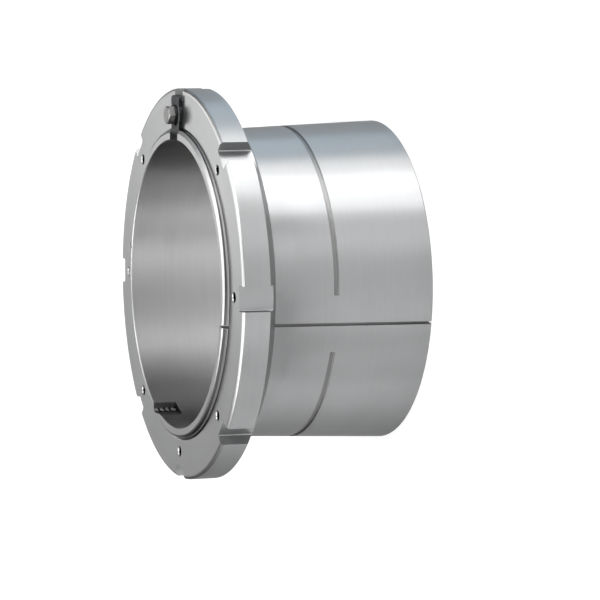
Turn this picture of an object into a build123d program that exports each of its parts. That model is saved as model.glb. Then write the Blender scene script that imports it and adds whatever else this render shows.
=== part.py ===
from build123d import *
from math import cos, radians, sin, tan
import os

# Adapter sleeve for a bearing with a tapered bore, with its lock nut, locking clip, bolt and washer.
# The slit steel sleeve has a straight bore for the shaft, a 1:12 taper outside for the bearing and
# a threaded small end for the nut. Oil goes in at a port in the small end, runs down a duct inside
# the wall and comes out in a groove round the taper.
# The sleeve stands on its large end. The origin is the centre of that end face, +Z runs along the
# bore to the nut, and +X points at the locking clip. Lengths are millimetres, angles are degrees
# about +Z from +X. Threads are left to the scene: each is drawn plain at its outside diameter, with
# THREAD_PLAY between the piece and its nut.

# Sleeve
BORE_D = 280.0
THREAD_WALL = 10.0
SLEEVE_LENGTH = 208.0
THREAD_BEYOND_NUT = 6.6
TAPER = 12.0
BORE_EDGE = 0.8
LARGE_END_EDGE = 1.0
THREAD_EDGE = 3.2
THREAD_EDGE_ANGLE = 30.0
SLIT_WIDTH = 3.0
SLIT_ANGLE = -101.25

# Oil groove, duct and port
GROOVE_BELOW_THREAD = 59.6
GROOVE_WIDTH = 5.0
GROOVE_DEPTH = 1.5
GROOVE_BREAK_ANGLE = 21.0
PORT_ANGLE = 78.75
PORT_D = 6.0
PORT_EDGE = 0.4
PORT_DEPTH = 12.0
DUCT_D = 4.0

# Square-set notch milled in the bore at the small end
NOTCH_LENGTH = 22.0
NOTCH_ANGLE = 153.5
NOTCH_SKIN = 2.1
NOTCH_CORNER = 3.8

# Lock nut
NUT_RING = 40.0
NUT_WIDTH = 40.0
NUT_SET_BACK = 5.4
THREAD_PLAY = 0.1
FACE_EDGE = 3.0
SEAT_RING = 17.5
NUT_EDGE_ANGLE = 30.0
NUT_BORE_EDGE = 2.0
SLOT_COUNT = 8
SLOT_WIDTH = 24.0
SLOT_DEPTH = 12.0
SLOT_CORNER = 1.5

# Bolt of the clip, and the tapped holes in the nut that take it
BOLT_D = 10.0
BOLT_LENGTH = 25.0
HEAD_FLATS = 17.0
HEAD_HEIGHT = 6.4
HEAD_FACE_D = 16.0
HEAD_EDGE_ANGLE = 30.0
TAP_BEYOND_BOLT = 9.4

# Washer under the bolt head
WASHER_D = 20.0
WASHER_PLAY = 0.25
WASHER_THICKNESS = 2.0

# Locking clip and its slot in the sleeve
CLIP_WIDTH = 21.5
CLIP_THICKNESS = 4.4
CLIP_BEYOND_BOLT = 19.2
CLIP_BOSS_D = 26.8
CLIP_CORNER = 4.0
CLIP_HOLE_PLAY = 0.5
CLIP_BEND_RADIUS = 1.5
CLIP_EDGE = 0.7
TONGUE_LENGTH = 17.0
TONGUE_SIDE_GAP = 0.75
TONGUE_TIP_GAP = 4.0
CLIP_SLOT_CORNER = 2.0

# How far a cutting shape passes the surface that it opens
OVERCUT = 1.0

# Sizes worked out from the driving dimensions
BORE_R = BORE_D / 2
THREAD_R = BORE_R + THREAD_WALL
MID_WALL_R = (BORE_R + THREAD_R) / 2
NUT_R = THREAD_R + NUT_RING
NUT_FACE = SLEEVE_LENGTH - NUT_SET_BACK
NUT_SEAT = NUT_FACE - NUT_WIDTH
TAPER_HEIGHT = NUT_SEAT - THREAD_BEYOND_NUT
GROOVE_HEIGHT = TAPER_HEIGHT - GROOVE_BELOW_THREAD
SLOT_FLOOR_R = NUT_R - SLOT_DEPTH
HOLE_CIRCLE_R = (THREAD_R + SLOT_FLOOR_R) / 2
CLIP_FACE = NUT_FACE + CLIP_THICKNESS
HEAD_BASE = CLIP_FACE + WASHER_THICKNESS
BOLT_TIP = HEAD_BASE - BOLT_LENGTH
TONGUE_R = MID_WALL_R - CLIP_THICKNESS / 2
TONGUE_TIP = CLIP_FACE - TONGUE_LENGTH
BEND_R = TONGUE_R + CLIP_THICKNESS + CLIP_BEND_RADIUS


def taper_radius(height):
    """Outside radius of the sleeve's bearing seat at a height."""
    return THREAD_R + (TAPER_HEIGHT - height) / (2 * TAPER)


def turned(points):
    """Solid of revolution about Z from (radius, height) points."""
    outline = Polyline([(radius, 0, height) for radius, height in points], close=True)
    return revolve(make_face(outline), Axis.Z)


def around(angle, radius, shape, height=0.0):
    """Place a shape at a radius and an angle, with its +X pointing outwards."""
    return Rot(0, 0, angle) * Pos(radius, 0, height) * shape


def bored(radius, depth):
    """Shape of a blind hole that goes down from height 0."""
    return Cylinder(radius, depth, align=(Align.CENTER, Align.CENTER, Align.MAX))


def sleeve_blank():
    """Turned sleeve: straight bore, tapered seat, threaded small end."""
    edge_height = THREAD_EDGE * tan(radians(THREAD_EDGE_ANGLE))
    return turned([
        (BORE_R, BORE_EDGE),
        (BORE_R + BORE_EDGE, 0),
        (taper_radius(0) - LARGE_END_EDGE, 0),
        (taper_radius(LARGE_END_EDGE), LARGE_END_EDGE),
        (THREAD_R, TAPER_HEIGHT),
        (THREAD_R, SLEEVE_LENGTH - edge_height),
        (THREAD_R - THREAD_EDGE, SLEEVE_LENGTH),
        (BORE_R + BORE_EDGE, SLEEVE_LENGTH),
        (BORE_R, SLEEVE_LENGTH - BORE_EDGE),
    ])


def slit():
    """Cut through the wall along the whole sleeve, which lets it close on the shaft."""
    blade = Box(THREAD_R, SLIT_WIDTH, 3 * SLEEVE_LENGTH)
    return around(SLIT_ANGLE, BORE_R - OVERCUT + THREAD_R / 2, blade)


def oil_groove():
    """Distributor groove round the taper, broken either side of the slit."""
    low = GROOVE_HEIGHT - GROOVE_WIDTH / 2
    high = GROOVE_HEIGHT + GROOVE_WIDTH / 2
    floor = taper_radius(GROOVE_HEIGHT) - GROOVE_DEPTH
    outer = taper_radius(low) + OVERCUT
    outline = Polyline([(floor, 0, low), (outer, 0, low), (outer, 0, high), (floor, 0, high)], close=True)
    ring = revolve(make_face(outline), Axis.Z, 360 - GROOVE_BREAK_ANGLE)
    return Rot(0, 0, SLIT_ANGLE + GROOVE_BREAK_ANGLE / 2) * ring


def oil_passage():
    """Tapped port in the small end, duct down the wall and outlet into the groove."""
    port_r = PORT_D / 2 + THREAD_PLAY
    mouth = Cone(port_r, port_r + PORT_EDGE, PORT_EDGE, align=(Align.CENTER, Align.CENTER, Align.MAX))
    drop = SLEEVE_LENGTH - GROOVE_HEIGHT
    reach = taper_radius(GROOVE_HEIGHT) - MID_WALL_R
    outlet = Pos(reach, 0, -drop) * Rot(0, 90, 0) * bored(DUCT_D / 2, reach)
    passage = bored(port_r, PORT_DEPTH) + mouth + bored(DUCT_D / 2, drop) + outlet
    return around(PORT_ANGLE, MID_WALL_R, passage, SLEEVE_LENGTH)


def bore_notch():
    """Square-set notch in the bore, open at the small end, with a round inner corner."""
    corner_x = (THREAD_R - NOTCH_SKIN) * cos(radians(NOTCH_ANGLE))
    corner_y = (THREAD_R - NOTCH_SKIN) * sin(radians(NOTCH_ANGLE))
    outline = Polyline([(0, 0), (corner_x, 0), (corner_x, corner_y), (0, corner_y)], close=True)
    section = make_face(outline)
    corner = section.vertices().sort_by(Axis.X)[:2].sort_by(Axis.Y)[-1]
    section = fillet(corner, NOTCH_CORNER)
    return Pos(0, 0, SLEEVE_LENGTH - NOTCH_LENGTH) * extrude(section, NOTCH_LENGTH + OVERCUT)


def clip_slot():
    """Slot at the small end that the tongue of the clip goes down into."""
    length = SLEEVE_LENGTH - TONGUE_TIP + TONGUE_TIP_GAP
    profile = RectangleRounded(2 * length, CLIP_WIDTH + 2 * TONGUE_SIDE_GAP, CLIP_SLOT_CORNER)
    return Pos(BORE_R - OVERCUT, 0, SLEEVE_LENGTH) * Rot(0, 90, 0) * extrude(profile, THREAD_R)


def make_taper_sleeve():
    """Sleeve with its slit, oil way, clip slot and bore notch."""
    return sleeve_blank() - slit() - oil_groove() - oil_passage() - bore_notch() - clip_slot()


def nut_blank():
    """Turned nut: plain front face, bevel down to the seat face behind."""
    slope = tan(radians(NUT_EDGE_ANGLE))
    seat_r = THREAD_R + SEAT_RING
    bore_r = THREAD_R + THREAD_PLAY
    return turned([
        (bore_r, NUT_SEAT + NUT_BORE_EDGE),
        (bore_r + NUT_BORE_EDGE, NUT_SEAT),
        (seat_r, NUT_SEAT),
        (NUT_R, NUT_SEAT + (NUT_R - seat_r) * slope),
        (NUT_R, NUT_FACE - FACE_EDGE * slope),
        (NUT_R - FACE_EDGE, NUT_FACE),
        (bore_r + NUT_BORE_EDGE, NUT_FACE),
        (bore_r, NUT_FACE - NUT_BORE_EDGE),
    ])


def make_lock_nut():
    """Nut with spanner slots round the rim and a tapped hole in line with each."""
    nut = nut_blank()
    slot = extrude(RectangleRounded(2 * SLOT_DEPTH, SLOT_WIDTH, SLOT_CORNER), NUT_WIDTH + 2 * OVERCUT)
    hole = bored(BOLT_D / 2 + THREAD_PLAY, NUT_FACE - BOLT_TIP + TAP_BEYOND_BOLT)
    for number in range(SLOT_COUNT):
        angle = number * 360 / SLOT_COUNT
        nut -= around(angle, NUT_R, slot, NUT_SEAT - OVERCUT)
        nut -= around(angle, HOLE_CIRCLE_R, hole, NUT_FACE)
    return nut


def clip_plate():
    """Flat part of the clip, with round corners at its end and a boss round the bolt."""
    length = HOLE_CIRCLE_R + CLIP_BEYOND_BOLT - BEND_R
    strip = Pos(BEND_R, 0) * Rectangle(length, CLIP_WIDTH, align=(Align.MIN, Align.CENTER))
    strip = fillet(strip.vertices().group_by(Axis.X)[-1], CLIP_CORNER)
    boss = Pos(HOLE_CIRCLE_R, 0) * Circle(CLIP_BOSS_D / 2)
    return Pos(0, 0, NUT_FACE) * extrude(strip + boss, CLIP_THICKNESS)


def clip_tongue():
    """Bend at the inner end of the plate and the tongue that goes down into the sleeve's slot."""
    outside = CLIP_BEND_RADIUS + CLIP_THICKNESS
    inside = CLIP_BEND_RADIUS
    bend_z = CLIP_FACE - outside
    diagonal = cos(radians(45))
    outer_arc = ThreePointArc(
        (TONGUE_R, 0, bend_z),
        (BEND_R - outside * diagonal, 0, bend_z + outside * diagonal),
        (BEND_R, 0, CLIP_FACE),
    )
    inner_arc = ThreePointArc(
        (TONGUE_R + CLIP_THICKNESS, 0, bend_z),
        (BEND_R - inside * diagonal, 0, bend_z + inside * diagonal),
        (BEND_R, 0, NUT_FACE),
    )
    rest = Polyline(
        inner_arc @ 0,
        (TONGUE_R + CLIP_THICKNESS, 0, TONGUE_TIP),
        (TONGUE_R, 0, TONGUE_TIP),
        outer_arc @ 0,
    )
    section = make_face([outer_arc, Line(outer_arc @ 1, inner_arc @ 1), inner_arc, rest])
    return extrude(section, CLIP_WIDTH / 2, both=True)


def make_locking_clip():
    """Bent clip that sits on the nut and keys it to the slot in the sleeve."""
    clip = clip_plate() + clip_tongue()
    front = clip.faces().filter_by(Axis.Z).sort_by(Axis.Z)[-1]
    bend_line = front.edges().sort_by(Axis.X)[0]
    outline = [edge for edge in front.edges() if edge != bend_line]
    clip = chamfer(outline, CLIP_EDGE)
    hole = Cylinder(BOLT_D / 2 + CLIP_HOLE_PLAY, 3 * CLIP_THICKNESS)
    return clip - Pos(HOLE_CIRCLE_R, 0, NUT_FACE) * hole


def make_clip_bolt():
    """Hexagon bolt with a chamfered head."""
    corner_r = HEAD_FLATS / 2 / cos(radians(30))
    drop = (corner_r - HEAD_FACE_D / 2) * tan(radians(HEAD_EDGE_ANGLE))
    prism = extrude(RegularPolygon(corner_r, 6, rotation=30), HEAD_HEIGHT)
    cone = turned([
        (0, 0),
        (corner_r, 0),
        (corner_r, HEAD_HEIGHT - drop),
        (HEAD_FACE_D / 2, HEAD_HEIGHT),
        (0, HEAD_HEIGHT),
    ])
    return Pos(HOLE_CIRCLE_R, 0, HEAD_BASE) * ((prism & cone) + bored(BOLT_D / 2, BOLT_LENGTH))


def make_clip_washer():
    """Flat washer under the bolt head."""
    ring = Circle(WASHER_D / 2) - Circle(BOLT_D / 2 + WASHER_PLAY)
    return Pos(HOLE_CIRCLE_R, 0, CLIP_FACE) * extrude(ring, WASHER_THICKNESS)


PARTS = {
    "taper_sleeve": make_taper_sleeve,
    "lock_nut": make_lock_nut,
    "locking_clip": make_locking_clip,
    "clip_bolt": make_clip_bolt,
    "clip_washer": make_clip_washer,
}

os.makedirs("parts", exist_ok=True)
for name, make in PARTS.items():
    export_step(make(), os.path.join("parts", name + ".step"))
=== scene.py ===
from math import atan2, cos, degrees, pi, radians, sin, tan

import bmesh
import bpy
from mathutils import Matrix, Vector


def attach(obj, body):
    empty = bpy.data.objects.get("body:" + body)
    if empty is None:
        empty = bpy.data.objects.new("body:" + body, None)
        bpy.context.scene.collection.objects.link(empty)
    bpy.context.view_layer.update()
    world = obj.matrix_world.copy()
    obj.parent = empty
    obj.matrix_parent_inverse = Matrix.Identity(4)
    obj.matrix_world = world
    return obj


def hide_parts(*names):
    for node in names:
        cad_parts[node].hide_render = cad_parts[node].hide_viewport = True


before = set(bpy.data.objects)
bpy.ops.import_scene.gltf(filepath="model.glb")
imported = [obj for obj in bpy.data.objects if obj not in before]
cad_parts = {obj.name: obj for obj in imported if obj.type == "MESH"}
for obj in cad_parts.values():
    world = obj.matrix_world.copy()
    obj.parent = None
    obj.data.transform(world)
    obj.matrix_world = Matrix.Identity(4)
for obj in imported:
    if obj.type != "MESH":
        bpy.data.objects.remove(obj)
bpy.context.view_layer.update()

# Bearing adapter sleeve with its lock nut, in metres, standing on its large end. +Z runs up the
# bore to the nut and +X points at the locking clip. Angles are degrees about +Z from +X.
MM = 0.001

# Sleeve, as the solids have it but for its softened edges, its groove's round floor and the length
# of the notch. The taper's radius changes by 1 in a run of 24, which is 1:12 on the diameter.
BORE_R = 140.0 * MM
THREAD_R = 150.0 * MM
SLEEVE_LENGTH = 208.0 * MM
TAPER_HEIGHT = 156.0 * MM
TAPER_RUN = 24
LARGE_END_R = 156.5 * MM
LARGE_END_EDGE = 1.0 * MM
SMALL_END_BEVEL = 3.2 * MM
BORE_EDGE = 0.8 * MM
MID_WALL_R = 145.0 * MM
SLIT_WIDTH = 3.0 * MM
SLIT_ANGLE = -101.25
GROOVE_HEIGHT = 96.4 * MM
GROOVE_WIDTH = 5.0 * MM
GROOVE_FLOOR_R = 150.98 * MM
GROOVE_ROUND = 1.5 * MM
GROOVE_BREAK_ANGLE = 21.0
PORT_ANGLE = 78.75
NOTCH_ANGLE = 153.5
NOTCH_CORNER_R = 147.9 * MM
NOTCH_ROUND = 3.8 * MM
NOTCH_LENGTH = 22.8 * MM
CLIP_SLOT_WIDTH = 23.0 * MM
CLIP_SLOT_DEPTH = 22.0 * MM
CLIP_SLOT_CORNER = 2.0 * MM
SLEEVE_SOFT = 0.4 * MM

# Lock nut, as the solids have it but for its rounded and broken edges
NUT_FACE = 202.6 * MM
NUT_SEAT = 162.6 * MM
NUT_R = 190.0 * MM
NUT_BORE_R = 150.1 * MM
SEAT_R = 167.5 * MM
FACE_EDGE = 3.0 * MM
FACE_EDGE_ROUND = 4.0 * MM
EDGE_SLOPE = tan(radians(30))
NUT_BORE_EDGE = 2.0 * MM
SLOT_COUNT = 8
SLOT_WIDTH = 24.0 * MM
SLOT_DEPTH = 12.0 * MM
SLOT_CORNER = 1.5 * MM
HOLE_CIRCLE_R = 164.0 * MM
HOLE_DEPTH = 28.0 * MM
NUT_SOFT = 0.8 * MM
NUT_EDGE_BREAK = 0.5 * MM

# Threads and countersinks, which the solids leave out. A thread's start is its angle about Z.
THREAD_PITCH = 4.0 * MM
THREAD_DEPTH = 1.8 * MM
THREAD_FLOOR_WIDTH = 1.3 * MM
THREAD_MOUTH_WIDTH = 2.9 * MM
THREAD_FROM_TAPER = 1.6 * MM
THREAD_TURNS = 13.2
THREAD_STEPS = 144
THREAD_START = -99.0
THREAD_RUN_OUT_LENGTH = 120.0 * MM
TAP_DRILL_R = 4.5 * MM
TAP_MOUTH_R = 5.3 * MM
TAP_SINK = 0.9 * MM
TAP_PITCH = 1.5 * MM
TAP_THREAD_DEPTH = 0.6 * MM
TAP_FROM_BOTTOM = 2.0 * MM
TAP_STEPS = 24
PORT_DRILL_R = 2.5 * MM
PORT_MOUTH_R = 3.4 * MM
PORT_SINK = 0.9 * MM
PORT_DEPTH = 12.0 * MM
PORT_PITCH = 1.0 * MM
PORT_THREAD_DEPTH = 0.55 * MM
DUCT_R = 2.0 * MM
NOTCH_EDGE = 0.3 * MM
NOTCH_PITCH = 5.6 * MM
NOTCH_TURN_R = 3.1 * MM
NOTCH_TURN_DEPTH = 2.2 * MM
NOTCH_TURN_WIDTH = 2.4 * MM
NOTCH_TURN_FROM_CORNER = (2.0 * MM, 2.4 * MM)
NOTCH_TURN_RISE = 0.8 * MM
NOTCH_TURNS = 3.5
NOTCH_TURN_STEPS = 40
NOTCH_TURN_START = 75.0

# How far a cutting shape passes the surface that it opens, the least radius on its own corners,
# how a round blank and a hole are divided, and the slope of a drill's point
OVERCUT = 1.0 * MM
CUTTER_ROUND = 0.1 * MM
ROUND_STEPS = 288
HOLE_STEPS = 48
DRILL_POINT_ANGLE = 31.0


# Camera, at the photograph's angle: its up is +X and the nut's side is at the left

IMAGE_SIDE = 600
SENSOR = 36.0
FOCAL_PIXELS = 3496.69
DISTANCE = 3.39828
TURN_TO_NUT = radians(20.0275)
LIFT = radians(4.9437)
ROLL = radians(0.0416)
NUT_CENTRE_PIXEL = (179.236, 283.941)


def set_camera():
    """Camera that sees the centre of the nut's face at its place in the photograph."""
    sideways = sin(TURN_TO_NUT) * Vector((0, 0, 1)) + cos(TURN_TO_NUT) * Vector((0, -1, 0))
    towards = (cos(LIFT) * sideways + sin(LIFT) * Vector((1, 0, 0))).normalized()
    right = (-towards).cross(Vector((1, 0, 0))).normalized()
    up = right.cross(-towards)
    turned_right = cos(ROLL) * right + sin(ROLL) * up
    turned_up = cos(ROLL) * up - sin(ROLL) * right
    across = (NUT_CENTRE_PIXEL[0] - IMAGE_SIDE / 2) * DISTANCE / FOCAL_PIXELS
    down = (NUT_CENTRE_PIXEL[1] - IMAGE_SIDE / 2) * DISTANCE / FOCAL_PIXELS
    place = Vector((0, 0, NUT_FACE)) - across * turned_right + down * turned_up + DISTANCE * towards
    data = bpy.data.cameras.new("photo_camera")
    data.sensor_width = SENSOR
    data.lens = FOCAL_PIXELS / IMAGE_SIDE * SENSOR
    data.clip_end = 50
    camera = bpy.data.objects.new("photo_camera", data)
    turn = Matrix((turned_right, turned_up, towards)).transposed().to_4x4()
    camera.matrix_world = Matrix.Translation(place) @ turn
    bpy.context.scene.collection.objects.link(camera)
    bpy.context.scene.camera = camera


set_camera()


# Node helpers

def add_node(tree, kind, **settings):
    """New node with the given properties."""
    node = tree.nodes.new(kind)
    for name, value in settings.items():
        setattr(node, name, value)
    return node


def feed(tree, node, **values):
    """Set or link inputs by name. Underscores stand for spaces."""
    for name, value in values.items():
        socket = node.inputs[name.replace("_", " ")]
        if isinstance(value, bpy.types.NodeSocket):
            tree.links.new(value, socket)
        else:
            socket.default_value = value
    return node


def math_node(tree, operation, first, second=0.5, clamp=False):
    """Result of a Math node."""
    node = add_node(tree, "ShaderNodeMath", operation=operation, use_clamp=clamp)
    for socket, value in zip(node.inputs, (first, second)):
        if isinstance(value, bpy.types.NodeSocket):
            tree.links.new(value, socket)
        else:
            socket.default_value = value
    return node.outputs[0]


def new_group(name, kind, inputs, outputs):
    """Node group with named sockets. Returns the group, its input and its output node."""
    group = bpy.data.node_groups.new(name, kind)
    for label, socket_type, value in inputs:
        socket = group.interface.new_socket(label, in_out="INPUT", socket_type=socket_type)
        if value is not None:
            socket.default_value = value
    for label, socket_type in outputs:
        group.interface.new_socket(label, in_out="OUTPUT", socket_type=socket_type)
    return group, group.nodes.new("NodeGroupInput"), group.nodes.new("NodeGroupOutput")


# Blanks and cutting shapes

def link_mesh(name, verts, faces):
    """Object from points and faces, with its faces turned outwards."""
    mesh = bpy.data.meshes.new(name)
    mesh.from_pydata(verts, [], faces)
    shape = bmesh.new()
    shape.from_mesh(mesh)
    bmesh.ops.remove_doubles(shape, verts=shape.verts, dist=1e-7)
    bmesh.ops.recalc_face_normals(shape, faces=shape.faces)
    shape.to_mesh(mesh)
    shape.free()
    piece = bpy.data.objects.new(name, mesh)
    bpy.context.scene.collection.objects.link(piece)
    return piece


def softened(outline, radius, arc_steps=7):
    """Closed outline with each corner rounded to the radius, or to its own where it gives a third
    number, or to as much as fits."""
    points = []
    count = len(outline)
    for number in range(count):
        corner = Vector(outline[number][:2])
        before = Vector(outline[number - 1][:2]) - corner
        after = Vector(outline[(number + 1) % count][:2]) - corner
        half = before.angle(after) / 2
        own_radius = outline[number][2] if len(outline[number]) > 2 else radius
        reach = min(own_radius / tan(half), before.length * 0.45, after.length * 0.45)
        start = corner + before.normalized() * reach
        end = corner + after.normalized() * reach
        middle = corner + (before.normalized() + after.normalized()).normalized() * reach / cos(half)
        round_r = reach * tan(half)
        for step in range(arc_steps + 1):
            share = step / arc_steps
            chord = start.lerp(end, share) - middle
            points.append(tuple(middle + chord.normalized() * round_r))
    return points


def turned(name, outline, steps=ROUND_STEPS, sweep=360.0, start=0.0):
    """Solid of revolution about Z from a closed (radius, height) outline."""
    whole = sweep > 359.9
    rings = steps if whole else steps + 1
    verts = []
    for ring in range(rings):
        angle = radians(start + sweep * ring / steps)
        verts += [(r * cos(angle), r * sin(angle), z) for r, z in outline]
    size = len(outline)
    faces = []
    for ring in range(steps):
        low = ring * size
        high = ((ring + 1) % rings) * size
        for number in range(size):
            after = (number + 1) % size
            faces.append((low + number, low + after, high + after, high + number))
    if not whole:
        faces.append(tuple(range(size)))
        faces.append(tuple(reversed(range(steps * size, steps * size + size))))
    return link_mesh(name, verts, faces)


def prism(name, outline, low, high):
    """Upright prism from a closed (x, y) outline."""
    size = len(outline)
    verts = [(x, y, z) for z in (low, high) for x, y in outline]
    faces = [tuple(range(size)), tuple(range(size, 2 * size))]
    for number in range(size):
        after = (number + 1) % size
        faces.append((number, after, size + after, size + number))
    return link_mesh(name, verts, faces)


def round_box_outline(length, width, corner):
    """Rectangle round the origin with rounded corners."""
    x, y = length / 2, width / 2
    return softened([(-x, -y), (x, -y), (x, y), (-x, y)], corner)


def moved(piece, matrix):
    """Move the mesh itself, so that the object stays at the origin."""
    piece.data.transform(matrix)
    return piece


def turn_z(angle):
    """Turn about Z, in degrees."""
    return Matrix.Rotation(radians(angle), 4, "Z")


# Screw thread cutter: a trapezoid section swept up a helix, which runs out at its lower end

def make_thread_tree():
    tree, given, result = new_group(
        "thread_cutter",
        "GeometryNodeTree",
        [
            ("Path Radius", "NodeSocketFloat", 0.15),
            ("Pitch", "NodeSocketFloat", 0.004),
            ("Turns", "NodeSocketFloat", 2.0),
            ("Steps", "NodeSocketInt", 96),
            ("Start Height", "NodeSocketFloat", 0.0),
            ("Depth", "NodeSocketFloat", 0.002),
            ("Inner Width", "NodeSocketFloat", 0.001),
            ("Outer Width", "NodeSocketFloat", 0.002),
            ("Run Out", "NodeSocketFloat", 0.0),
            ("Run Out Length", "NodeSocketFloat", 0.05),
            ("Finish", "NodeSocketMaterial", None),
        ],
        [("Mesh", "NodeSocketGeometry")],
    )
    height = math_node(tree, "MULTIPLY", given.outputs["Pitch"], given.outputs["Turns"])
    spiral = feed(
        tree, add_node(tree, "GeometryNodeCurveSpiral"),
        Resolution=given.outputs["Steps"], Rotations=given.outputs["Turns"],
        Start_Radius=given.outputs["Path Radius"], End_Radius=given.outputs["Path Radius"],
        Height=height,
    )
    place = feed(tree, add_node(tree, "ShaderNodeCombineXYZ"), Z=given.outputs["Start Height"])
    raised = feed(
        tree, add_node(tree, "GeometryNodeTransform"),
        Geometry=spiral.outputs[0], Translation=place.outputs[0],
    )
    along = add_node(tree, "GeometryNodeSplineParameter")
    share = math_node(tree, "DIVIDE", along.outputs["Length"], given.outputs["Run Out Length"])
    left = math_node(tree, "SUBTRACT", 1.0, share, clamp=True)
    lift = math_node(tree, "MULTIPLY", left, given.outputs["Run Out"])
    flat = feed(
        tree, add_node(tree, "ShaderNodeVectorMath", operation="MULTIPLY"),
        Vector=add_node(tree, "GeometryNodeInputPosition").outputs[0],
    )
    flat.inputs[1].default_value = (1, 1, 0)
    outwards = add_node(tree, "ShaderNodeVectorMath", operation="NORMALIZE")
    tree.links.new(flat.outputs[0], outwards.inputs[0])
    offset = add_node(tree, "ShaderNodeVectorMath", operation="SCALE")
    tree.links.new(outwards.outputs[0], offset.inputs[0])
    tree.links.new(lift, offset.inputs["Scale"])
    path = feed(
        tree, add_node(tree, "GeometryNodeSetPosition"),
        Geometry=raised.outputs[0], Offset=offset.outputs[0],
    )
    upright = add_node(tree, "GeometryNodeSetCurveNormal")
    upright.mode = "Z_UP"
    tree.links.new(path.outputs[0], upright.inputs["Curve"])
    section = add_node(tree, "GeometryNodeCurvePrimitiveQuadrilateral", mode="TRAPEZOID")
    feed(
        tree, section,
        Bottom_Width=given.outputs["Inner Width"], Top_Width=given.outputs["Outer Width"],
        Offset=0.0, Height=given.outputs["Depth"],
    )
    faced = feed(
        tree, add_node(tree, "GeometryNodeTransform"),
        Geometry=section.outputs[0], Rotation=(0, 0, -pi / 2),
    )
    swept = add_node(tree, "GeometryNodeCurveToMesh")
    tree.links.new(upright.outputs[0], swept.inputs["Curve"])
    tree.links.new(faced.outputs[0], swept.inputs["Profile Curve"])
    swept.inputs["Fill Caps"].default_value = True
    real = add_node(tree, "GeometryNodeRealizeInstances")
    tree.links.new(swept.outputs[0], real.inputs[0])
    painted = feed(tree, add_node(tree, "GeometryNodeSetMaterial"), Material=given.outputs["Finish"])
    tree.links.new(real.outputs[0], painted.inputs["Geometry"])
    tree.links.new(painted.outputs[0], result.inputs[0])
    return tree


# Ring of cuts: takes the same bite out of a blank at equal angles about Z

def make_ring_tree():
    tree, given, result = new_group(
        "ring_of_cuts",
        "GeometryNodeTree",
        [
            ("Blank", "NodeSocketGeometry", None),
            ("Cutter", "NodeSocketObject", None),
            ("Count", "NodeSocketInt", 1),
            ("Finish", "NodeSocketMaterial", None),
        ],
        [("Mesh", "NodeSocketGeometry")],
    )
    cutter = feed(tree, add_node(tree, "GeometryNodeObjectInfo"), Object=given.outputs["Cutter"])
    spots = feed(tree, add_node(tree, "GeometryNodePoints"), Count=given.outputs["Count"])
    step = math_node(tree, "DIVIDE", 2 * pi, given.outputs["Count"])
    angle = math_node(tree, "MULTIPLY", add_node(tree, "GeometryNodeInputIndex").outputs[0], step)
    spin = feed(tree, add_node(tree, "ShaderNodeCombineXYZ"), Z=angle)
    copies = feed(
        tree, add_node(tree, "GeometryNodeInstanceOnPoints"),
        Points=spots.outputs[0], Instance=cutter.outputs["Geometry"], Rotation=spin.outputs[0],
    )
    real = add_node(tree, "GeometryNodeRealizeInstances")
    tree.links.new(copies.outputs[0], real.inputs[0])
    cut = add_node(tree, "GeometryNodeMeshBoolean", operation="DIFFERENCE", solver="EXACT")
    tree.links.new(given.outputs["Blank"], cut.inputs[0])
    tree.links.new(real.outputs[0], cut.inputs[1])
    painted = feed(tree, add_node(tree, "GeometryNodeSetMaterial"), Material=given.outputs["Finish"])
    tree.links.new(cut.outputs[0], painted.inputs["Geometry"])
    tree.links.new(painted.outputs[0], result.inputs[0])
    return tree


THREAD_TREE = make_thread_tree()
RING_TREE = make_ring_tree()


def run_tree(piece, tree, **values):
    """Run a Geometry Nodes tree on a piece and keep the result as its plain mesh."""
    modifier = piece.modifiers.new(tree.name, "NODES")
    modifier.node_group = tree
    sockets = {
        item.name: item.identifier
        for item in tree.interface.items_tree
        if item.item_type == "SOCKET" and item.in_out == "INPUT"
    }
    for name, value in values.items():
        modifier[sockets[name.replace("_", " ")]] = value
    return keep_result(piece)


def keep_result(piece):
    """Replace a piece's mesh by what its modifiers make of it."""
    shown = piece.evaluated_get(bpy.context.evaluated_depsgraph_get())
    mesh = bpy.data.meshes.new_from_object(shown)
    piece.modifiers.clear()
    old = piece.data
    piece.data = mesh
    bpy.data.meshes.remove(old)
    mesh.name = piece.name
    return piece


def cut(blank, cutter, count=1):
    """Cut a shape out of a blank, at count equal angles about Z."""
    run_tree(blank, RING_TREE, Cutter=cutter, Count=count)
    bpy.data.objects.remove(cutter)
    return blank


def thread(name, **sizes):
    """Cutter for a screw thread."""
    piece = link_mesh(name, [(0, 0, 0)], [])
    run_tree(piece, THREAD_TREE, **sizes)
    shape = bmesh.new()
    shape.from_mesh(piece.data)
    bmesh.ops.recalc_face_normals(shape, faces=shape.faces)
    shape.to_mesh(piece.data)
    shape.free()
    return piece


def inside_thread(name, drill_r, pitch, depth, low, high):
    """Cutter for the thread of a tapped hole on the Z axis."""
    reach = depth + OVERCUT / 2
    return thread(
        name, Path_Radius=drill_r - OVERCUT / 2 + reach / 2, Pitch=pitch, Turns=(high - low) / pitch,
        Steps=TAP_STEPS, Start_Height=low, Depth=reach, Inner_Width=pitch * 0.9, Outer_Width=pitch * 0.2,
    )


def drill(name, radius, mouth_r, sink, top, depth):
    """Cutter for a blind hole with a countersunk mouth and a drill point, on the Z axis."""
    point = radius * tan(radians(DRILL_POINT_ANGLE))
    flare = (mouth_r - radius) / sink
    outline = [
        (0, top - depth - point),
        (radius, top - depth),
        (radius, top - sink),
        (mouth_r + OVERCUT * flare, top + OVERCUT),
        (0, top + OVERCUT),
    ]
    return turned(name, outline, HOLE_STEPS)


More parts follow.
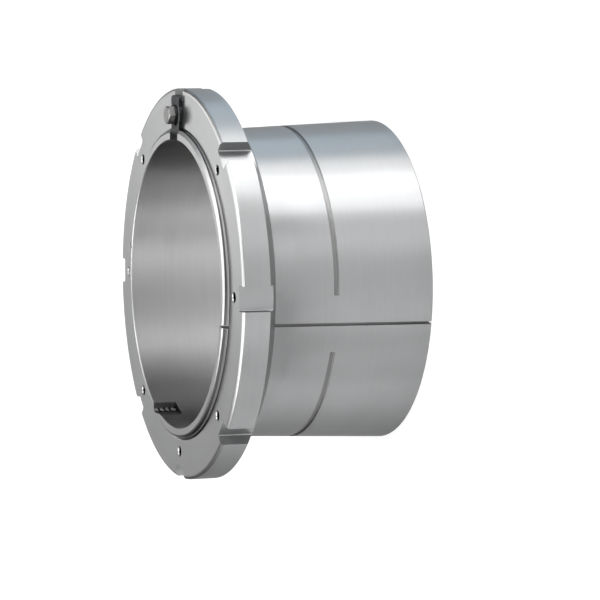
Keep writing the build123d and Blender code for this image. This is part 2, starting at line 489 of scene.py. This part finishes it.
def finished(piece, edge=0.0, smooth_angle=15.0):
    """Break the piece's sharp edges and shade its round surfaces smooth."""
    if edge:
        bevel = piece.modifiers.new("edge_break", "BEVEL")
        bevel.width = edge
        bevel.segments = 2
        bevel.limit_method = "ANGLE"
        bevel.angle_limit = radians(smooth_angle)
        bevel.use_clamp_overlap = True
        bevel.miter_outer = "MITER_ARC"
        keep_result(piece)
    piece.data.shade_smooth()
    piece.data.set_sharp_from_angle(angle=radians(smooth_angle))
    even = piece.modifiers.new("even_normals", "WEIGHTED_NORMAL")
    even.keep_sharp = True
    return keep_result(piece)


# Pieces

def nut_outline():
    """Section of the nut as it comes off the lathe."""
    return [
        (NUT_BORE_R, NUT_SEAT + NUT_BORE_EDGE),
        (NUT_BORE_R + NUT_BORE_EDGE, NUT_SEAT),
        (SEAT_R, NUT_SEAT),
        (NUT_R, NUT_SEAT + (NUT_R - SEAT_R) * EDGE_SLOPE),
        (NUT_R, NUT_FACE - FACE_EDGE * EDGE_SLOPE, FACE_EDGE_ROUND),
        (NUT_R - FACE_EDGE, NUT_FACE, FACE_EDGE_ROUND),
        (NUT_BORE_R + NUT_BORE_EDGE, NUT_FACE),
        (NUT_BORE_R, NUT_FACE - NUT_BORE_EDGE),
    ]


def make_nut():
    """Lock nut with its spanner slots and tapped, countersunk holes."""
    nut = turned("lock_nut_turned", softened(nut_outline(), NUT_SOFT))
    slot = prism(
        "slot_cutter", round_box_outline(2 * SLOT_DEPTH, SLOT_WIDTH, SLOT_CORNER),
        NUT_SEAT - OVERCUT, NUT_FACE + OVERCUT,
    )
    cut(nut, moved(slot, Matrix.Translation((NUT_R, 0, 0))), SLOT_COUNT)
    finished(nut, NUT_EDGE_BREAK)
    to_hole = Matrix.Translation((HOLE_CIRCLE_R, 0, 0))
    hole = drill("hole_cutter", TAP_DRILL_R, TAP_MOUTH_R, TAP_SINK, NUT_FACE, HOLE_DEPTH)
    cut(nut, moved(hole, to_hole), SLOT_COUNT)
    tap = inside_thread(
        "tap_cutter", TAP_DRILL_R, TAP_PITCH, TAP_THREAD_DEPTH,
        NUT_FACE - HOLE_DEPTH + TAP_FROM_BOTTOM, NUT_FACE - TAP_SINK,
    )
    cut(nut, moved(tap, to_hole), SLOT_COUNT)
    return finished(nut)


def sleeve_outline():
    """Section of the sleeve as it comes off the lathe."""
    return [
        (BORE_R, BORE_EDGE),
        (BORE_R + BORE_EDGE, 0),
        (LARGE_END_R - LARGE_END_EDGE, 0),
        (LARGE_END_R - LARGE_END_EDGE / TAPER_RUN, LARGE_END_EDGE),
        (THREAD_R, TAPER_HEIGHT),
        (THREAD_R, SLEEVE_LENGTH - SMALL_END_BEVEL * EDGE_SLOPE),
        (THREAD_R - SMALL_END_BEVEL, SLEEVE_LENGTH),
        (BORE_R + BORE_EDGE, SLEEVE_LENGTH),
        (BORE_R, SLEEVE_LENGTH - BORE_EDGE),
    ]


def cut_groove(sleeve):
    """Oil groove, broken either side of the slit."""
    low, high = GROOVE_HEIGHT - GROOVE_WIDTH / 2, GROOVE_HEIGHT + GROOVE_WIDTH / 2
    outer = LARGE_END_R + OVERCUT
    section = [
        (GROOVE_FLOOR_R, low, GROOVE_ROUND), (outer, low, CUTTER_ROUND),
        (outer, high, CUTTER_ROUND), (GROOVE_FLOOR_R, high, GROOVE_ROUND),
    ]
    ring = turned(
        "groove_cutter", softened(section, 0, arc_steps=6), ROUND_STEPS,
        sweep=360 - GROOVE_BREAK_ANGLE, start=SLIT_ANGLE + GROOVE_BREAK_ANGLE / 2,
    )
    cut(sleeve, ring)


def cut_oil_way(sleeve):
    """Tapped port in the small end, duct down the wall and outlet into the groove."""
    port = Matrix.Translation((MID_WALL_R, 0, 0))
    around = turn_z(PORT_ANGLE)
    port_floor = SLEEVE_LENGTH - PORT_DEPTH
    hole = drill("port_cutter", PORT_DRILL_R, PORT_MOUTH_R, PORT_SINK, SLEEVE_LENGTH, PORT_DEPTH)
    cut(sleeve, moved(hole, around @ port))
    tap = inside_thread(
        "port_tap_cutter", PORT_DRILL_R, PORT_PITCH, PORT_THREAD_DEPTH,
        port_floor + OVERCUT, SLEEVE_LENGTH - PORT_SINK,
    )
    cut(sleeve, moved(tap, around @ port))
    duct = [(0, GROOVE_HEIGHT), (DUCT_R, GROOVE_HEIGHT), (DUCT_R, port_floor), (0, port_floor)]
    cut(sleeve, moved(turned("duct_cutter", duct, HOLE_STEPS), around @ port))
    reach = LARGE_END_R - MID_WALL_R
    outlet = [(0, 0), (DUCT_R, 0), (DUCT_R, reach), (0, reach)]
    level = Matrix.Translation((MID_WALL_R, 0, GROOVE_HEIGHT)) @ Matrix.Rotation(pi / 2, 4, "Y")
    cut(sleeve, moved(turned("outlet_cutter", outlet, HOLE_STEPS), around @ level))


def cut_notch(sleeve):
    """Square-set notch in the bore, with the turns of a half-open tapped hole along its corner."""
    corner_x = NOTCH_CORNER_R * cos(radians(NOTCH_ANGLE))
    corner_y = NOTCH_CORNER_R * sin(radians(NOTCH_ANGLE))
    centre = (corner_x + NOTCH_ROUND, corner_y - NOTCH_ROUND)
    arc = [
        (centre[0] + NOTCH_ROUND * cos(radians(a)), centre[1] + NOTCH_ROUND * sin(radians(a)))
        for a in range(90, 181, 10)
    ]
    outline = [(0, 0), (0, corner_y)] + arc + [(corner_x, 0)]
    low = SLEEVE_LENGTH - NOTCH_LENGTH
    cut(sleeve, prism("notch_cutter", outline, low, SLEEVE_LENGTH + OVERCUT))
    turns = thread(
        "notch_tap_cutter", Path_Radius=NOTCH_TURN_R - NOTCH_TURN_DEPTH / 2, Pitch=NOTCH_PITCH,
        Turns=NOTCH_TURNS, Steps=NOTCH_TURN_STEPS, Start_Height=low + NOTCH_TURN_RISE,
        Depth=NOTCH_TURN_DEPTH, Inner_Width=NOTCH_TURN_WIDTH, Outer_Width=NOTCH_TURN_WIDTH / 2,
    )
    to_corner = (corner_x + NOTCH_TURN_FROM_CORNER[0], corner_y - NOTCH_TURN_FROM_CORNER[1], 0)
    cut(sleeve, moved(turns, Matrix.Translation(to_corner) @ turn_z(NOTCH_TURN_START)))
    # The two edges where a wall of the notch meets the bore are broken by a small square bar that
    # stands between the wall's side and the bore's
    for on_edge, wall in (
        (Vector((-(BORE_R ** 2 - corner_y ** 2) ** 0.5, corner_y)), Vector((0, -1))),
        (Vector((corner_x, (BORE_R ** 2 - corner_x ** 2) ** 0.5)), Vector((1, 0))),
    ):
        out = (wall - on_edge.normalized()).normalized()
        place = on_edge + out * (OVERCUT - NOTCH_EDGE)
        turn = turn_z(degrees(atan2(out.y, out.x)))
        bar = prism(
            "notch_edge_cutter", round_box_outline(2 * OVERCUT, 2 * OVERCUT, CUTTER_ROUND),
            low, SLEEVE_LENGTH + OVERCUT,
        )
        cut(sleeve, moved(bar, Matrix.Translation((*place, 0)) @ turn))


def make_sleeve():
    """Sleeve with its slit, oil way, clip slot, notch and thread."""
    sleeve = turned("sleeve_with_thread", softened(sleeve_outline(), SLEEVE_SOFT))
    reach = THREAD_DEPTH + OVERCUT
    screw = thread(
        "thread_cutter", Path_Radius=THREAD_R + OVERCUT - reach / 2, Pitch=THREAD_PITCH,
        Turns=THREAD_TURNS, Steps=THREAD_STEPS, Start_Height=TAPER_HEIGHT + THREAD_FROM_TAPER,
        Depth=reach, Inner_Width=THREAD_FLOOR_WIDTH, Outer_Width=THREAD_MOUTH_WIDTH,
        Run_Out=THREAD_DEPTH + OVERCUT / 2, Run_Out_Length=THREAD_RUN_OUT_LENGTH,
    )
    cut(sleeve, moved(screw, turn_z(THREAD_START)))
    cut_groove(sleeve)
    cut_oil_way(sleeve)
    cut_notch(sleeve)
    clip_slot = prism(
        "clip_slot_cutter", round_box_outline(2 * CLIP_SLOT_DEPTH, CLIP_SLOT_WIDTH, CLIP_SLOT_CORNER),
        0, THREAD_R,
    )
    on_end = Matrix.Translation((BORE_R - 5 * OVERCUT, 0, SLEEVE_LENGTH))
    cut(sleeve, moved(clip_slot, on_end @ Matrix.Rotation(pi / 2, 4, "Y")))
    inner, half = BORE_R - 9 * OVERCUT, SLIT_WIDTH / 2
    blade = prism(
        "slit_cutter", [(inner, -half), (NUT_R, -half), (NUT_R, half), (inner, half)],
        -OVERCUT, SLEEVE_LENGTH + OVERCUT,
    )
    cut(sleeve, moved(blade, turn_z(SLIT_ANGLE)))
    return finished(sleeve)


nut = make_nut()
sleeve = make_sleeve()


# Finishes: the colour of light that glances off the steel, and the range that a noise mostly fills
EDGE_TINT = (0.52, 0.52, 0.52, 1.0)
NOISE_RANGE = (0.3, 0.7)


def make_turning_group():
    """Marks that a lathe tool leaves: fine rings about Z, on round faces and on flat ends alike."""
    tree, given, result = new_group(
        "turning_marks",
        "ShaderNodeTree",
        [
            ("Ring Spacing", "NodeSocketFloat", 0.0006),
            ("Ring Length", "NodeSocketFloat", 3.0),
            ("Patch Size", "NodeSocketFloat", 0.04),
        ],
        [("Rings", "NodeSocketFloat"), ("Wide Rings", "NodeSocketFloat"), ("Patches", "NodeSocketFloat")],
    )
    where = add_node(tree, "ShaderNodeTexCoord").outputs["Object"]
    parts = add_node(tree, "ShaderNodeSeparateXYZ")
    tree.links.new(where, parts.inputs[0])
    x, y, z = parts.outputs
    squares = math_node(tree, "ADD", math_node(tree, "MULTIPLY", x, x), math_node(tree, "MULTIPLY", y, y))
    radius = math_node(tree, "SQRT", squares)
    sweep = math_node(tree, "DIVIDE", given.outputs["Ring Length"], radius)

    def rings(scale, detail):
        """Noise that changes across the rings and hardly along them."""
        spacing = math_node(tree, "MULTIPLY", given.outputs["Ring Spacing"], scale)
        point = feed(
            tree, add_node(tree, "ShaderNodeCombineXYZ"),
            X=math_node(tree, "MULTIPLY", x, sweep), Y=math_node(tree, "MULTIPLY", y, sweep),
            Z=math_node(tree, "DIVIDE", radius, spacing),
        )
        noise = add_node(tree, "ShaderNodeTexNoise", noise_dimensions="4D")
        feed(
            tree, noise, Vector=point.outputs[0], W=math_node(tree, "DIVIDE", z, spacing),
            Scale=1.0, Detail=detail, Roughness=0.6,
        )
        return noise.outputs[0]

    tree.links.new(rings(1.0, 2.0), result.inputs["Rings"])
    tree.links.new(rings(6.0, 3.0), result.inputs["Wide Rings"])
    patches = add_node(tree, "ShaderNodeTexNoise")
    feed(
        tree, patches, Vector=where, Scale=math_node(tree, "DIVIDE", 1.0, given.outputs["Patch Size"]),
        Detail=3.0, Roughness=0.55,
    )
    tree.links.new(patches.outputs[0], result.inputs["Patches"])
    return tree


def make_straight_group():
    """Straight marks of a rolled or plated face, a fine mottle, and how level the face is, which steers painted
    shade.
    """
    tree, given, result = new_group(
        "straight_marks",
        "ShaderNodeTree",
        [("Line Spacing", "NodeSocketFloat", 0.0004), ("Line Length", "NodeSocketFloat", 0.02)],
        [("Lines", "NodeSocketFloat"), ("Mottle", "NodeSocketFloat"), ("Level", "NodeSocketFloat")],
    )
    where = add_node(tree, "ShaderNodeTexCoord").outputs["Object"]
    parts = add_node(tree, "ShaderNodeSeparateXYZ")
    tree.links.new(where, parts.inputs[0])
    x, y, z = parts.outputs
    point = feed(
        tree, add_node(tree, "ShaderNodeCombineXYZ"),
        X=math_node(tree, "DIVIDE", x, given.outputs["Line Length"]),
        Y=math_node(tree, "DIVIDE", y, given.outputs["Line Spacing"]),
        Z=math_node(tree, "DIVIDE", z, given.outputs["Line Length"]),
    )
    lines = feed(tree, add_node(tree, "ShaderNodeTexNoise"), Vector=point.outputs[0], Scale=1.0, Detail=3.0)
    tree.links.new(lines.outputs[0], result.inputs["Lines"])
    mottle = feed(tree, add_node(tree, "ShaderNodeTexNoise"), Vector=where, Scale=400.0, Detail=4.0)
    tree.links.new(mottle.outputs[0], result.inputs["Mottle"])
    facing = add_node(tree, "ShaderNodeSeparateXYZ")
    tree.links.new(add_node(tree, "ShaderNodeTexCoord").outputs["Normal"], facing.inputs[0])
    tree.links.new(math_node(tree, "ABSOLUTE", facing.outputs["Z"]), result.inputs["Level"])
    return tree


TURNING = make_turning_group()
STRAIGHT = make_straight_group()


def mix_value(tree, mask, low, high):
    """Value that runs from low to high as a mask goes through a noise's range."""
    node = add_node(tree, "ShaderNodeMapRange")
    feed(tree, node, Value=mask, From_Min=NOISE_RANGE[0], From_Max=NOISE_RANGE[1], To_Min=low, To_Max=high)
    return node.outputs[0]


def mix_colour(tree, mask, low, high):
    """Colour that runs from low to high as a mask goes from 0 to 1."""
    node = add_node(tree, "ShaderNodeMix", data_type="RGBA")
    tree.links.new(mask, node.inputs[0])
    node.inputs[6].default_value = (*low, 1)
    node.inputs[7].default_value = (*high, 1)
    return node.outputs[2]


def metal(name, anisotropy):
    """Bare metal, brushed round Z where it has anisotropy. Returns it, its tree and its shader."""
    material = bpy.data.materials.new(name)
    material.use_nodes = True
    tree = material.node_tree
    shader = tree.nodes["Principled BSDF"]
    feed(tree, shader, Metallic=1.0, Anisotropic=anisotropy, Anisotropic_Rotation=0.25, Specular_Tint=EDGE_TINT)
    if anisotropy:
        around = add_node(tree, "ShaderNodeTangent", direction_type="RADIAL", axis="Z")
        tree.links.new(around.outputs[0], shader.inputs["Tangent"])
    return material, tree, shader


def turned_steel(name, dark, light, smooth, rough, spacing, depth, anisotropy):
    """Steel as it leaves the lathe, with rings of slightly different gloss and colour."""
    material, tree, shader = metal(name, anisotropy)
    marks = add_node(tree, "ShaderNodeGroup")
    marks.node_tree = TURNING
    feed(tree, marks, Ring_Spacing=spacing, Ring_Length=2.2, Patch_Size=0.05)
    blend = math_node(
        tree, "ADD",
        math_node(tree, "MULTIPLY", marks.outputs["Wide Rings"], 0.6),
        math_node(tree, "MULTIPLY", marks.outputs["Patches"], 0.4),
    )
    feed(tree, shader, Base_Color=mix_colour(tree, mix_value(tree, blend, 0.0, 1.0), dark, light))
    feed(tree, shader, Roughness=mix_value(tree, marks.outputs["Wide Rings"], smooth, rough))
    height = math_node(tree, "ADD", marks.outputs["Rings"], marks.outputs["Wide Rings"])
    bump = feed(tree, add_node(tree, "ShaderNodeBump"), Strength=1.0, Distance=depth, Height=height)
    tree.links.new(bump.outputs[0], shader.inputs["Normal"])
    return material


def plain_steel(name, dark, light, smooth, rough, spacing, depth, side=1.0):
    """Rolled or plated steel with straight marks and a fine mottle. Its upright faces get painted shade:
    their colour is cut to the side's share."""
    material, tree, shader = metal(name, 0.0)
    marks = add_node(tree, "ShaderNodeGroup")
    marks.node_tree = STRAIGHT
    feed(tree, marks, Line_Spacing=spacing, Line_Length=0.012)
    mottled = mix_colour(tree, mix_value(tree, marks.outputs["Mottle"], 0.0, 1.0), dark, light)
    shade = add_node(tree, "ShaderNodeVectorMath", operation="SCALE")
    tree.links.new(mottled, shade.inputs[0])
    # Painted shade: upright faces are darkened to the side's share of the colour
    tree.links.new(mix_value(tree, marks.outputs["Level"], side, 1.0), shade.inputs["Scale"])
    feed(tree, shader, Base_Color=shade.outputs[0])
    feed(tree, shader, Roughness=mix_value(tree, marks.outputs["Lines"], smooth, rough))
    height = math_node(tree, "ADD", marks.outputs["Lines"], marks.outputs["Mottle"])
    bump = feed(tree, add_node(tree, "ShaderNodeBump"), Strength=1.0, Distance=depth, Height=height)
    tree.links.new(bump.outputs[0], shader.inputs["Normal"])
    return material


# Each steel's dark and light colour, its gloss, and how far apart and deep its marks are, in metres
SLEEVE_FINISH = turned_steel(
    "turned_sleeve_steel", (0.352, 0.356, 0.36), (0.399, 0.403, 0.407),
    smooth=0.38, rough=0.46, spacing=0.0005, depth=0.000004, anisotropy=0.94,
)
# Painted light: the bore is the same turned steel, given a lighter colour that stands in for light
BORE_FINISH_PAINTED_LIGHT = turned_steel(
    "turned_bore_steel", (0.545, 0.545, 0.545), (0.60, 0.60, 0.60),
    smooth=0.38, rough=0.46, spacing=0.0005, depth=0.000004, anisotropy=0.94,
)
# Painted shade: the oil groove and the notch's rounded corner get a darker copy of the turned steel; its
# rougher gloss is real
GROOVE_FINISH_PAINTED_SHADE = turned_steel(
    "turned_groove_steel", (0.25, 0.25, 0.25), (0.28, 0.28, 0.28),
    smooth=0.45, rough=0.55, spacing=0.0005, depth=0.000004, anisotropy=0.9,
)
NUT_FINISH = turned_steel(
    "turned_nut_steel", (0.36, 0.364, 0.367), (0.41, 0.414, 0.418),
    smooth=0.42, rough=0.50, spacing=0.0006, depth=0.000004, anisotropy=0.92,
)
FLAT_FINISH = turned_steel(
    "turned_flat_steel", (0.435, 0.438, 0.44), (0.48, 0.483, 0.485),
    smooth=0.29, rough=0.35, spacing=0.0006, depth=0.000003, anisotropy=0.0,
)
# Painted highlight: bevels and the sleeve's end above the nut get a much lighter copy of the steel so that they
# show white; their smoother gloss is real
BEVEL_FINISH_PAINTED_HIGHLIGHT = turned_steel(
    "turned_bevel_steel", (0.56, 0.56, 0.56), (0.61, 0.61, 0.61),
    smooth=0.34, rough=0.4, spacing=0.0006, depth=0.000002, anisotropy=0.0,
)
# The clip, its washer and the bolt have their upright faces darkened by side, which is painted shade
CLIP_FINISH = plain_steel(
    "rolled_clip_steel", (0.06, 0.062, 0.064), (0.105, 0.107, 0.11),
    smooth=0.42, rough=0.55, spacing=0.0005, depth=0.00001, side=0.35,
)
BOLT_FINISH = plain_steel(
    "plated_bolt_steel", (0.25, 0.25, 0.245), (0.31, 0.31, 0.305),
    smooth=0.25, rough=0.36, spacing=0.0005, depth=0.000005, side=0.45,
)
# Painted shade: a dark copy of the steel for the notch's walls and the clip slot, where shade falls
RECESS_PAINTED_SHADE = plain_steel(
    "oily_recess_steel", (0.12, 0.12, 0.122), (0.17, 0.17, 0.172),
    smooth=0.45, rough=0.55, spacing=0.0005, depth=0.000005,
)
# Painted shade: a near-black copy of the steel inside the nut's tapped holes and on the notch's turns
THREAD_PAINTED_SHADE = plain_steel(
    "oily_thread_steel", (0.018, 0.018, 0.019), (0.03, 0.03, 0.031),
    smooth=0.5, rough=0.6, spacing=0.0005, depth=0.000005,
)

NUT_FINISHES = {
    "turned": NUT_FINISH, "flat": FLAT_FINISH, "thread": THREAD_PAINTED_SHADE, "bevel": BEVEL_FINISH_PAINTED_HIGHLIGHT,
}
SLEEVE_FINISHES = {
    "turned": SLEEVE_FINISH, "flat": FLAT_FINISH, "bore": BORE_FINISH_PAINTED_LIGHT, "recess": RECESS_PAINTED_SHADE,
    "thread": THREAD_PAINTED_SHADE, "groove": GROOVE_FINISH_PAINTED_SHADE, "bevel": BEVEL_FINISH_PAINTED_HIGHLIGHT,
}

# What tells a face's finish: the upward share of its normal on a bevel and on the wall of a groove,
# the sideways share on a flat wall, and how near a surface, how deep and how far along a face lies
BEVEL_RISE = (0.6, 0.985)
WALL_RISE = 0.9
UPRIGHT_RISE = 0.1
FLAT_WALL = 0.999
ON_SURFACE = 0.02 * MM
OUTER_SKIN = 0.12 * MM
ROUND_SKIN = 0.1 * MM
DEEPEST_GROOVE = 1.9 * MM
ABOVE_LARGE_END = 2.0 * MM
NOTCH_SPAN_X = (-4.0 * MM, 10.0 * MM)
NOTCH_SPAN_Y = (-22.0 * MM, 4.0 * MM)
NOTCH_BELOW = 2.0 * MM
NOTCH_TURNS_REACH = 6.0 * MM
NOTCH_CORNER = NOTCH_CORNER_R * Vector((cos(radians(NOTCH_ANGLE)), sin(radians(NOTCH_ANGLE))))
CLIP_SLOT_FROM_BORE = 5.0 * MM
CLIP_SLOT_BELOW = 0.1 * MM


def finish_by_slant(normal):
    """Finish of a face that nothing but its slant tells apart."""
    # Bevels get the lighter bevel steel, which is a painted highlight
    if BEVEL_RISE[0] < normal.z < BEVEL_RISE[1]:
        return "bevel"
    return "flat" if abs(normal.z) > BEVEL_RISE[0] else "turned"


def nut_finish_at(spot, normal):
    """Finish of a face of the nut. The holes get painted shade inside, and their countersinks are bright."""
    angle = pi / 4 * round(atan2(spot.y, spot.x) / (pi / 4))
    from_hole = Vector((spot.x - HOLE_CIRCLE_R * cos(angle), spot.y - HOLE_CIRCLE_R * sin(angle))).length
    if from_hole < TAP_MOUTH_R and spot.z < NUT_FACE - ON_SURFACE:
        return "thread" if spot.z < NUT_FACE - TAP_SINK else "flat"
    return finish_by_slant(normal)


def notch_finish_at(from_corner, normal):
    """Finish of a face in the notch: flat wall, rounded corner or turn of the tapped hole, each a darker steel
    that is painted shade.
    """
    flat_wall = max(abs(normal.x), abs(normal.y)) > FLAT_WALL
    from_round = (from_corner - NOTCH_ROUND * Vector((1, -1))).length
    # The rounded corner gets the darker groove steel, which is painted shade
    if abs(normal.z) < UPRIGHT_RISE and not flat_wall and abs(from_round - NOTCH_ROUND) < ROUND_SKIN:
        return "groove"
    beside_turns = from_corner.length > NOTCH_TURNS_REACH and normal.z < WALL_RISE
    # The turns get the near-black steel, which is painted shade
    return "recess" if flat_wall or beside_turns else "thread"


def sleeve_finish_at(spot, normal):
    """Finish of a face of the sleeve."""
    out = Vector((spot.x, spot.y))
    below_end = spot.z < SLEEVE_LENGTH - ON_SURFACE
    from_corner = out - NOTCH_CORNER
    at_corner = (
        NOTCH_SPAN_X[0] < from_corner.x < NOTCH_SPAN_X[1]
        and NOTCH_SPAN_Y[0] < from_corner.y < NOTCH_SPAN_Y[1]
        and spot.z > SLEEVE_LENGTH - NOTCH_LENGTH - NOTCH_BELOW
    )
    if at_corner and below_end and out.length > BORE_R + ON_SURFACE:
        return notch_finish_at(from_corner, normal)
    # The clip slot's faces get the dark recess steel, which is painted shade
    beside_clip = spot.x > BORE_R - CLIP_SLOT_FROM_BORE and abs(spot.y) < CLIP_SLOT_WIDTH / 2 + OVERCUT
    if beside_clip and below_end and spot.z > SLEEVE_LENGTH - CLIP_SLOT_DEPTH - CLIP_SLOT_BELOW:
        return "recess"
    # The bore's faces get the lighter copy of the steel, which is painted light
    if out.length < BORE_R + ON_SURFACE:
        return "bore"
    # The sleeve's end above the nut gets the lighter bevel steel, which is a painted highlight
    if spot.z > NUT_FACE and below_end and out.length > THREAD_R - OUTER_SKIN:
        return "bevel"
    # The oil groove's faces get the darker groove steel, which is painted shade
    surface_r = THREAD_R + max(0, TAPER_HEIGHT - spot.z) / TAPER_RUN
    in_groove = surface_r - DEEPEST_GROOVE < out.length < surface_r - OUTER_SKIN
    on_end_bevel = BEVEL_RISE[0] < normal.z < WALL_RISE
    if in_groove and below_end and not on_end_bevel and spot.z > ABOVE_LARGE_END:
        return "groove"
    return finish_by_slant(normal)


def dress(piece, finishes, finish_at=None):
    """Give a piece its finishes, each to the faces for which finish_at gives its name."""
    piece.data.materials.clear()
    for finish in finishes.values():
        piece.data.materials.append(finish)
    if finish_at:
        numbers = {name: number for number, name in enumerate(finishes)}
        for face in piece.data.polygons:
            face.material_index = numbers[finish_at(face.center, face.normal)]


for piece, node, slot, finishes, finish_at in (
    (sleeve, "taper_sleeve", "sleeve_steel", SLEEVE_FINISHES, sleeve_finish_at),
    (nut, "lock_nut", "nut_steel", NUT_FINISHES, nut_finish_at),
):
    dress(piece, finishes, finish_at)
    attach(piece, "root")
    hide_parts(node)

for node, finish in (("locking_clip", CLIP_FINISH), ("clip_washer", CLIP_FINISH), ("clip_bolt", BOLT_FINISH)):
    dress(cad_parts[node], {"all": finish})


# Floor, light and background: the floor's reach in metres, its colour where the object is lit by it,
# and the shade and glow with which it is seen directly or in the metal
FLOOR_REACH = 30.0
FLOOR_COLOUR = (0.8, 0.8, 0.8, 1)
FLOOR_SHADE = (0.6, 0.6, 0.6, 1)
FLOOR_GLOW = 0.5
WORLD_LEVEL = 0.0


def make_floor():
    """Plain white floor that keeps the object's shadow."""
    corners = [(-1, -1), (1, -1), (1, 1), (-1, 1)]
    floor = link_mesh("floor", [(x * FLOOR_REACH, y * FLOOR_REACH, 0) for x, y in corners], [(0, 1, 2, 3)])
    material = bpy.data.materials.new("floor_white")
    material.use_nodes = True
    tree = material.node_tree
    tree.nodes.remove(tree.nodes["Principled BSDF"])
    rays = add_node(tree, "ShaderNodeLightPath").outputs
    mirrored = math_node(tree, "MAXIMUM", rays["Is Glossy Ray"], rays["Is Transmission Ray"])
    seen = math_node(tree, "MAXIMUM", rays["Is Camera Ray"], mirrored)
    lit = feed(tree, add_node(tree, "ShaderNodeBsdfDiffuse"), Color=FLOOR_COLOUR)
    shown = feed(tree, add_node(tree, "ShaderNodeBsdfDiffuse"), Color=FLOOR_SHADE)
    glow = feed(tree, add_node(tree, "ShaderNodeEmission"), Color=(1, 1, 1, 1), Strength=FLOOR_GLOW)
    both = add_node(tree, "ShaderNodeAddShader")
    tree.links.new(shown.outputs[0], both.inputs[0])
    tree.links.new(glow.outputs[0], both.inputs[1])
    mixed = add_node(tree, "ShaderNodeMixShader")
    tree.links.new(seen, mixed.inputs[0])
    tree.links.new(lit.outputs[0], mixed.inputs[1])
    tree.links.new(both.outputs[0], mixed.inputs[2])
    tree.links.new(mixed.outputs[0], tree.nodes["Material Output"].inputs["Surface"])
    floor.data.materials.append(material)


# Lamps all round, in metres: the height angle of a row, the width and height of its soft boxes, and
# the angle from +X, the brightness and the colour of each
WHITE = (1.0, 1.0, 1.0)
COOL = (0.70, 1.0, 1.25)
LAMP_ROWS = [
    (0.5, 0.68, 0.22, [
        (50, 3.8, COOL), (30, 8.2, COOL), (15, 5.8, COOL), (0, 24.5, WHITE), (-15, 47.0, WHITE),
        (-30, 34.0, WHITE), (-45, 3.6, WHITE), (-60, 8.4, WHITE), (-75, 3.2, WHITE), (-90, 2.0, WHITE),
        (-165, 2.9, WHITE), (180, 2.1, WHITE), (165, 0.9, WHITE),
    ]),
    (27, 1.24, 0.7, [(30, 0.5, WHITE), (-60, 2.2, WHITE), (178, 1.4, WHITE)]),
    (33, 1.1, 1.0, [(82, 3.0, WHITE)]),
    (20, 0.8, 1.0, [(105, 0.88, WHITE)]),
    (50, 0.86, 1.4, [
        (-3, 1.3, WHITE), (-28, 5.6, WHITE), (-88, 2.2, WHITE), (-116, 5.8, WHITE), (-157, 4.6, WHITE),
        (178, 0.8, WHITE),
    ]),
    (57, 1.0, 1.0, [(50, 2.6, WHITE)]),
    (68, 0.8, 0.9, [(141, 2.6, WHITE)]),
    (79, 1.5, 1.3, [(76, 2.2, WHITE)]),
]
LAMP_DISTANCE = 2.6
AIM = Vector((0, 0, 0.1))


def make_soft_box(name, angle, lift, width, height, level, colour):
    """Rectangular lamp that faces the object and has the given radiance."""
    data = bpy.data.lights.new(name, "AREA")
    data.shape = "RECTANGLE"
    data.size = width
    data.size_y = height
    data.energy = level * pi * width * height
    data.color = colour
    lamp = bpy.data.objects.new(name, data)
    a, b = radians(angle), radians(lift)
    away = Vector((cos(b) * cos(a), cos(b) * sin(a), sin(b)))
    turn = away.to_track_quat("Z", "Y").to_matrix().to_4x4()
    lamp.matrix_world = Matrix.Translation(AIM + LAMP_DISTANCE * away) @ turn
    lamp.visible_camera = False
    bpy.context.scene.collection.objects.link(lamp)


make_floor()
for lift, width, height, boxes in LAMP_ROWS:
    for angle, level, colour in boxes:
        make_soft_box(f"soft_box_{lift:.0f}_{angle}", angle, lift, width, height, level, colour)

world = bpy.data.worlds.new("studio")
world.use_nodes = True
feed(world.node_tree, world.node_tree.nodes["Background"], Color=(1, 1, 1, 1), Strength=WORLD_LEVEL)
bpy.context.scene.world = world
bpy.context.scene.view_settings.view_transform = "Standard"
